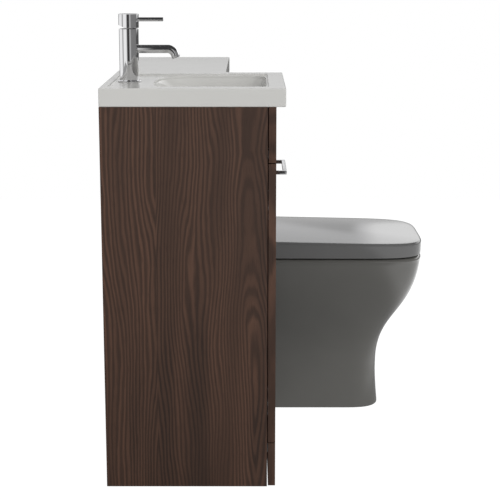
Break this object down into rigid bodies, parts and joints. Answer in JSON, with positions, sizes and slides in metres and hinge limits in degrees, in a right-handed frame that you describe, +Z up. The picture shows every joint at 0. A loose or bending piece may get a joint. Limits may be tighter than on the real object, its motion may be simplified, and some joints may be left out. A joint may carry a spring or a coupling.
{
  "type": "toilet and basin combination unit",
  "caption": "Walnut vanity cabinet with basin, single-lever tap and door, joined to a toilet unit with concealed cistern, back-to-wall pan, wrap-over seat lid and one L-shaped worktop.",
  "frame": {"origin": "on the floor, under the middle of the whole unit's bounding box", "axes": "+X to the right of a person facing the unit, +Y towards the wall, +Z up; the front faces -Y"},
  "size_m": [0.9, 0.751, 1.0215],
  "materials": {
    "walnut_board": "satin walnut-effect board with vertical grain",
    "worktop": "gloss, light grey-white moulded resin stone",
    "grey_ceramic": "gloss grey glaze",
    "grey_plastic": "gloss grey moulded plastic",
    "chrome": "polished",
    "steel": "satin zinc-plated steel",
    "white_plastic": "white moulded plastic",
    "blue_plastic": "blue moulded plastic",
    "black_plastic": "black moulded plastic",
    "buffer_rubber": "soft translucent grey",
    "black_rubber": "matte black"
  },
  "bodies": {
    "cabinets": {"vanity_side_left": "walnut_board", "vanity_side_right": "walnut_board", "vanity_base": "walnut_board", "vanity_back_panel": "walnut_board", "vanity_front_rail": "walnut_board", "vanity_wall_rail": "walnut_board", "vanity_shelf": "walnut_board", "shelf_pins": "steel", "vanity_fascia": "walnut_board", "vanity_plinth": "walnut_board", "hinge_arms": "steel", "panel_brackets": "steel", "wc_side_left": "walnut_board", "wc_side_right": "walnut_board", "wc_front_rail": "walnut_board", "wc_wall_rail": "walnut_board", "cistern_shelf": "walnut_board", "wc_fascia": "walnut_board", "wc_front_panel": "walnut_board", "wc_plinth": "walnut_board", "basin_worktop": "worktop", "overflow_ring": "chrome", "tap_base_ring": "chrome", "tap_body": "chrome", "tap_spout": "chrome", "tap_aerator": "white_plastic", "tap_shank": "steel", "waste_body": "chrome", "waste_nut": "steel", "trap_body": "white_plastic", "trap_cup": "white_plastic", "trap_outlet": "white_plastic", "trap_flange": "white_plastic", "pan": "grey_ceramic", "seat_hinge_posts": "chrome", "pan_connector": "white_plastic", "pan_connector_seal": "black_rubber", "cistern_tank": "white_plastic", "cistern_cover": "white_plastic", "flush_valve": "white_plastic", "fill_valve": "white_plastic", "flush_pipe": "white_plastic", "flush_cone": "black_rubber", "flush_bezel": "chrome"},
    "door": {"vanity_door": "walnut_board", "door_handle": "chrome", "handle_screws": "steel", "hinge_cups": "steel"},
    "tap_spindle": {"tap_cartridge": "steel"},
    "tap_handle": {"tap_cap": "chrome", "tap_lever": "chrome"},
    "plug": {"waste_plug": "chrome"},
    "seat_ring": {"seat": "grey_plastic", "seat_buffers": "buffer_rubber"},
    "seat_lid": {"lid": "grey_plastic", "lid_buffers": "buffer_rubber"},
    "valve_tube": {"flush_valve_lift": "blue_plastic"},
    "float_cup": {"fill_float": "black_plastic"},
    "full_button": {"flush_button_full": "chrome"},
    "half_button": {"flush_button_half": "chrome"}
  },
  "joints": [
    {"name": "door_hinge", "type": "hinge", "parent": "cabinets", "child": "door", "pos_m": [-0.4435, 0.01204, 0.41], "axis": [0, 0, -1], "range_deg": [0, 110]},
    {"name": "tap_swivel", "type": "hinge", "parent": "cabinets", "child": "tap_spindle", "pos_m": [-0.25, 0.32704, 0.991], "axis": [0, 0, 1], "range_deg": [-45, 45]},
    {"name": "tap_lift", "type": "hinge", "parent": "tap_spindle", "child": "tap_handle", "pos_m": [-0.25, 0.32704, 1.003], "axis": [-1, 0, 0], "range_deg": [0, 20]},
    {"name": "plug_press", "type": "slide", "parent": "cabinets", "child": "plug", "axis": [0, 0, -1], "range_m": [0, 0.008]},
    {"name": "lid_hinge", "type": "hinge", "parent": "cabinets", "child": "seat_lid", "pos_m": [0.2, 0.0705, 0.42233], "axis": [-1, 0, 0], "range_deg": [0, 92]},
    {"name": "seat_hinge", "type": "hinge", "parent": "cabinets", "child": "seat_ring", "pos_m": [0.2, 0.0705, 0.42233], "axis": [-1, 0, 0], "range_deg": [0, 90]},
    {"name": "full_flush_press", "type": "slide", "parent": "cabinets", "child": "full_button", "axis": [0, 1, 0], "range_m": [0, 0.005], "stiffness_N_per_m": 400, "springref_m": -0.003},
    {"name": "half_flush_press", "type": "slide", "parent": "cabinets", "child": "half_button", "axis": [0, 1, 0], "range_m": [0, 0.005], "stiffness_N_per_m": 400, "springref_m": -0.003},
    {"name": "valve_lift", "type": "slide", "parent": "cabinets", "child": "valve_tube", "axis": [0, 0, 1], "range_m": [0, 0.02]},
    {"name": "float_drop", "type": "slide", "parent": "cabinets", "child": "float_cup", "axis": [0, 0, -1], "range_m": [0, 0.08]}
  ],
  "couplings": [
    {"joint": "seat_hinge", "follows": "lid_hinge", "ratio": 0.97},
    {"joint": "valve_lift", "follows": "full_flush_press", "ratio": 4}
  ]
}
